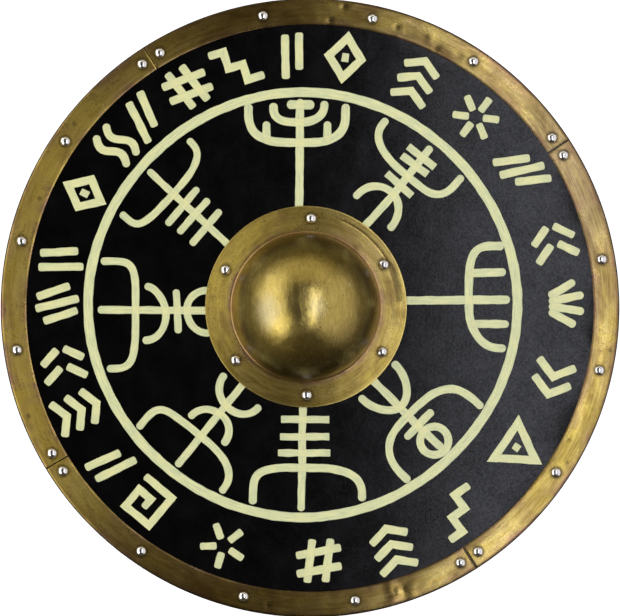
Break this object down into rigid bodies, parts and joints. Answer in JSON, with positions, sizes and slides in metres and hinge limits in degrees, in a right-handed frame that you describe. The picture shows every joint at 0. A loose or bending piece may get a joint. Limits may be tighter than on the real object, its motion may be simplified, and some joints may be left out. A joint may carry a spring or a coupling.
{
  "type": "round shield",
  "caption": "Round wooden shield with a flat brass rim, a domed brass boss over the hand hole and a wooden grip across the back",
  "frame": {"origin": "centre of the board's flat back, which is the plane the shield lies on", "axes": "+Z out of the shield's front through the boss, +Y up when the shield is carried upright, +X to the right seen from the front"},
  "size_m": [0.6096, 0.6096, 0.0818],
  "materials": {
    "board": "satin black paint over wood, with pale yellow-green painted figures on the front",
    "grip": "oiled bare wood, worn smooth where it is held",
    "rim": "aged sheet brass, brushed along the rim, with brown patina and small dents",
    "boss": "aged sheet brass, satin, turned marks round the dome and flange",
    "rivets": "polished steel heads"
  },
  "bodies": {
    "root": {"board": "board", "grip": "grip", "boss": "boss", "rim_strip_1": "rim", "rim_strip_2": "rim", "rim_strip_3": "rim", "rim_strip_4": "rim", "rim_rivet_1_1": "rivets", "rim_rivet_1_2": "rivets", "rim_rivet_1_3": "rivets", "rim_rivet_1_4": "rivets", "rim_rivet_1_5": "rivets", "rim_rivet_2_1": "rivets", "rim_rivet_2_2": "rivets", "rim_rivet_2_3": "rivets", "rim_rivet_2_4": "rivets", "rim_rivet_2_5": "rivets", "rim_rivet_3_1": "rivets", "rim_rivet_3_2": "rivets", "rim_rivet_3_3": "rivets", "rim_rivet_3_4": "rivets", "rim_rivet_3_5": "rivets", "rim_rivet_4_1": "rivets", "rim_rivet_4_2": "rivets", "rim_rivet_4_3": "rivets", "rim_rivet_4_4": "rivets", "rim_rivet_4_5": "rivets", "boss_rivet_top": "rivets", "boss_rivet_upper_right": "rivets", "boss_rivet_lower_right": "rivets", "boss_rivet_bottom": "rivets", "boss_rivet_lower_left": "rivets", "boss_rivet_upper_left": "rivets"}
  },
  "joints": []
}
